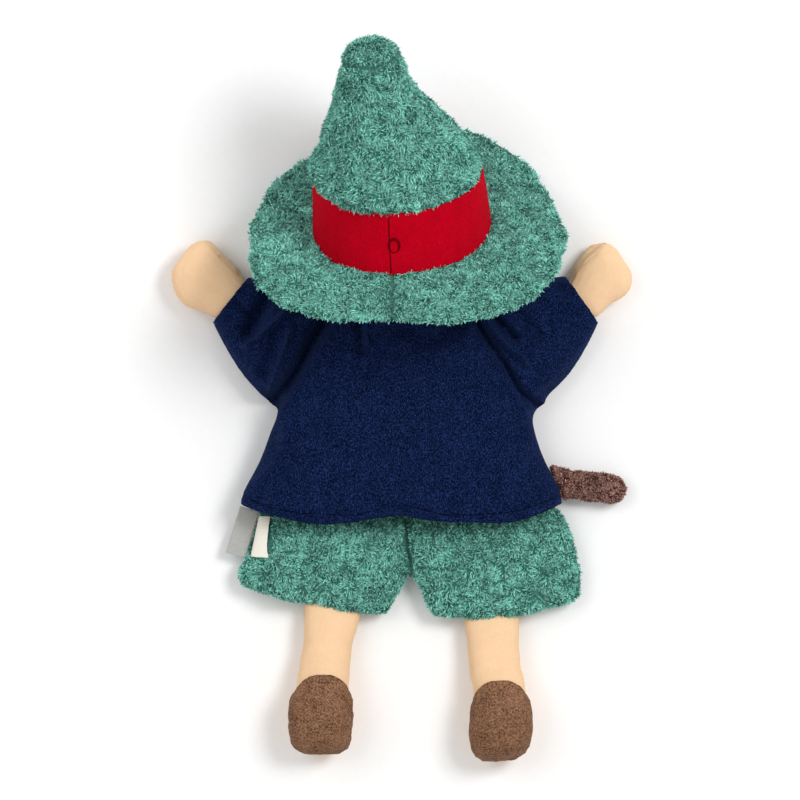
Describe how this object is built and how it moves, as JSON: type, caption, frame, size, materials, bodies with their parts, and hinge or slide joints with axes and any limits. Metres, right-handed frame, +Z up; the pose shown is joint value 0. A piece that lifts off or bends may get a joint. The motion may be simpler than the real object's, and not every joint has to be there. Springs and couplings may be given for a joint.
{
  "type": "glove puppet",
  "caption": "Soft robber hand puppet in a plush hat, fleece shirt and plush shorts, open at the shirt's hem for a hand. It lies on its front.",
  "frame": {"origin": "on the floor, under the middle of the lying puppet's bounding box", "axes": "+X to the viewer's right and the club, +Y from the feet to the hat's tip, +Z up through the puppet's back"},
  "size_m": [0.2322, 0.3611, 0.1149],
  "materials": {
    "teal_plush": "curly plush pile",
    "red_jersey": "smooth knit",
    "dark_red_thread": "sewing thread",
    "navy_fleece": "short nap fleece",
    "skin_jersey": "smooth brushed knit",
    "brown_fleece": "short nap fleece",
    "brown_terry": "curly terry pile",
    "grey_satin": "woven satin",
    "white_satin": "woven satin",
    "black_thread": "sewing thread",
    "card_tube": "matt card"
  },
  "bodies": {
    "root": {"shirt_back": "navy_fleece", "shirt_front": "navy_fleece", "sleeve_left": "navy_fleece", "sleeve_right": "navy_fleece", "mitt_left": "skin_jersey", "mitt_right": "skin_jersey", "head": "skin_jersey", "finger_tube": "card_tube", "nose": "skin_jersey", "eye_left": "black_thread", "eye_right": "black_thread", "beard": "brown_terry", "hat_band": "red_jersey", "band_stitch_ring": "dark_red_thread", "hat_crown": "teal_plush", "hat_tip": "teal_plush", "hat_brim": "teal_plush", "shorts_left": "teal_plush", "shorts_right": "teal_plush", "leg_left": "skin_jersey", "leg_right": "skin_jersey", "sole_left": "brown_fleece", "sole_right": "brown_fleece", "club": "brown_terry", "club_collar": "brown_fleece", "ribbon_tag": "grey_satin", "care_label": "white_satin"}
  },
  "joints": []
}
